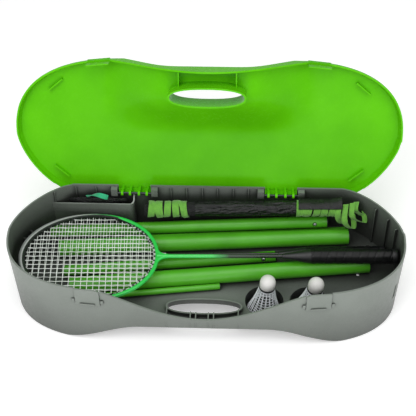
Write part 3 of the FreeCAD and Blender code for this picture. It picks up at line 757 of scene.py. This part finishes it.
def make_loops():
    """Slack tape hanging from the bundle's right end, over and in front of the topmost tube."""
    loops = Mesh()
    for x0, reach, drop, lean, back in LOOPS:
        pts, normals, cross = [], [], []
        for i in range(41):
            t = i / 40
            a = math.pi * (1.15 - 1.9 * t)
            c, s = math.cos(math.pi * t), math.sin(math.pi * t)
            x = x0 + lean * (0.5 - 0.5 * c) - 4 * math.sin(2 * math.pi * t)
            y = 98 + back - (14 + reach) * s ** 0.8 * 0.9 + 6 * math.cos(a)
            z = 112 + 14 * c - drop * s * 0.75 + 2.0 * math.sin(9 * t + x0)
            pts.append(Vector((x, y, z)) * MM)
            normals.append(Vector((0.25 * math.sin(6 * t), -1.0, 0.35 + 0.5 * c)))
            cross.append(Vector((1, 0.25 * math.sin(5 * t + x0), 0.35 * math.cos(4 * t))))
        loops.ribbon(pts, normals, 10 * MM, TAPE_THICK * MM, cross, 0.25 * MM)
    loops.object("net_tape_right_loops", TAPE, "net", sharp=60, slot="green_tape")


make_net()
make_sleeve()
make_tapes()
make_flap()
make_loops()


# ---- pouch ---------------------------------------------------------------------------------
POUCH_X, POUCH_Y, POUCH_Z = (-240.5, -173), (103.4, 117.6), (44.6, 117.0)
POUCH_NECK = 103


def make_pouch():
    bag, rows = Mesh(), []
    steps = 56
    for i in range(steps + 1):
        t = i / steps
        z = POUCH_Z[0] + (POUCH_Z[1] - POUCH_Z[0]) * t
        # the slack mouth lies wider than the bag
        spread = 1 / (1 + math.exp(-(z - POUCH_NECK) / 2.2))
        x0, x1 = POUCH_X[0] - 11 * spread, POUCH_X[1] + 32 * spread
        y0, y1 = POUCH_Y[0], POUCH_Y[1] - 5.8 * spread
        end = math.sin(math.pi * min(max(t, 0.004), 0.996)) ** 0.35
        row = []
        for a in circle(96):
            c, s = math.cos(a), math.sin(a)
            ex = math.copysign(abs(c) ** 0.45, c)
            ey = math.copysign(abs(s) ** 0.7, s)
            w = noise.noise(Vector((c * 3, s * 1.5, z * 0.06)))
            x = (x0 + x1) / 2 + ex * (x1 - x0) / 2 * (0.90 + 0.1 * end) * (1 - 0.02 * abs(w))
            y = (y0 + y1) / 2 + ey * (y1 - y0) / 2 * end * (0.86 + 0.28 * w)
            ruck = noise.noise(Vector((x * 0.11, y * 0.25, 4.0)))
            ruck += 0.6 * noise.noise(Vector((x * 0.25, y * 0.4, 8.0)))
            z_ruck = z + (3.2 * ruck - 1.5) * spread
            row.append(Vector((x, min(max(y, y0), y1), z_ruck)) * MM)
        rows.append(row)
    bag.grid(rows, True, True)
    ob = bag.object("pouch_bag", NYLON, "pouch", sharp=70, slot="nylon")
    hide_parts("pouch")
    strap = Mesh()
    pts, normals = [], []
    for i in range(25):
        t = i / 24
        y, z = 108 + 1.5 * math.sin(5 * t), 118.5 + 4.0 * math.sin(math.pi * t)
        pts.append(Vector((-216 + 38 * t, y, z)) * MM)
        twist = math.radians(150) * (t - 0.5)
        normals.append(Vector((0, -math.sin(twist), math.cos(twist))))
    strap.ribbon(pts, normals, 9 * MM, 1.0 * MM, None, 0.2 * MM)
    ob = strap.object("pouch_strap_webbing", TEAL, "pouch", sharp=60, slot="teal_strap")
    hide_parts("pouch_strap")


make_pouch()


# ---- floor, light and camera ---------------------------------------------------------------
FLOOR_HALF, FLOOR_Z = 6.0, -0.0004
# name, place, disk size, power, aim (metres and watts)
LIGHTS = (("key", (-0.9, -1.3, 1.9), 1.5, 18, (0, 0, 0.1)),
          ("fill", (1.5, -1.0, 1.3), 1.4, 10, (0, 0, 0.1)),
          ("top", (0.0, -0.3, 2.3), 1.8, 18, (0, 0, 0.1)),
          ("front", (0.1, -2.0, 0.6), 2.0, 7, (0, 0.1, 0.25)),
          ("low", (0.0, -1.9, 0.16), 1.0, 5, (0, 0.15, 0.3)))
# camera angles in degrees, its aim in mm, distance in metres, sensor and lens in mm
ELEVATION, AZIMUTH, ROLL = 45.0, 2.76, -0.89
AIM, DISTANCE = (5.0, 5.0, 198.44), 1.724
SENSOR, LENS = 36.0, 90.32


def stage():
    scene = bpy.context.scene
    me = bpy.data.meshes.new("floor")
    s, z = FLOOR_HALF, FLOOR_Z
    me.from_pydata([(-s, -s, z), (s, -s, z), (s, s, z), (-s, s, z)], [], [(0, 1, 2, 3)])
    m, nt, bsdf = new_material("floor_paper")
    co = object_coords(nt)
    col = mix_colour(nt, noise_tex(nt, co, 3.0), (0.90, 0.90, 0.90, 1), (0.93, 0.93, 0.93, 1))
    nt.links.new(col, bsdf.inputs["Base Color"])
    bsdf.inputs["Roughness"].default_value = 0.9
    bsdf.inputs["Emission Color"].default_value = (1, 1, 1, 1)
    bsdf.inputs["Emission Strength"].default_value = 0.3
    me.materials.append(m)
    floor = bpy.data.objects.new("floor", me)
    scene.collection.objects.link(floor)
    for name, at, size, power, aim in LIGHTS:
        light = bpy.data.lights.new(name, "AREA")
        light.shape, light.size, light.energy = "DISK", size, power
        ob = bpy.data.objects.new(name, light)
        ob.location = at
        ob.rotation_mode = "QUATERNION"
        ob.rotation_quaternion = (Vector(aim) - Vector(at)).to_track_quat("-Z", "Y")
        scene.collection.objects.link(ob)
    world = bpy.data.worlds.new("studio")
    world.use_nodes = True
    sky = world.node_tree.nodes["Background"]
    sky.inputs["Color"].default_value = (1, 1, 1, 1)
    sky.inputs["Strength"].default_value = 0.40
    scene.world = world
    scene.view_settings.view_transform = "Standard"


def camera():
    el, az, roll = (math.radians(angle) for angle in (ELEVATION, AZIMUTH, ROLL))
    back = Vector((math.sin(az) * math.cos(el), -math.cos(az) * math.cos(el), math.sin(el)))
    right = Vector((math.cos(az), math.sin(az), 0))
    up = back.cross(right)
    right, up = (right * math.cos(roll) + up * math.sin(roll),
                 up * math.cos(roll) - right * math.sin(roll))
    cam = bpy.data.cameras.new("view")
    cam.sensor_width, cam.lens = SENSOR, LENS
    ob = bpy.data.objects.new("view", cam)
    rot = Matrix((right, up, back)).transposed().to_4x4()
    ob.matrix_world = Matrix.Translation(Vector(AIM) * MM + back * DISTANCE) @ rot
    bpy.context.scene.collection.objects.link(ob)
    bpy.context.scene.camera = ob


stage()
camera()
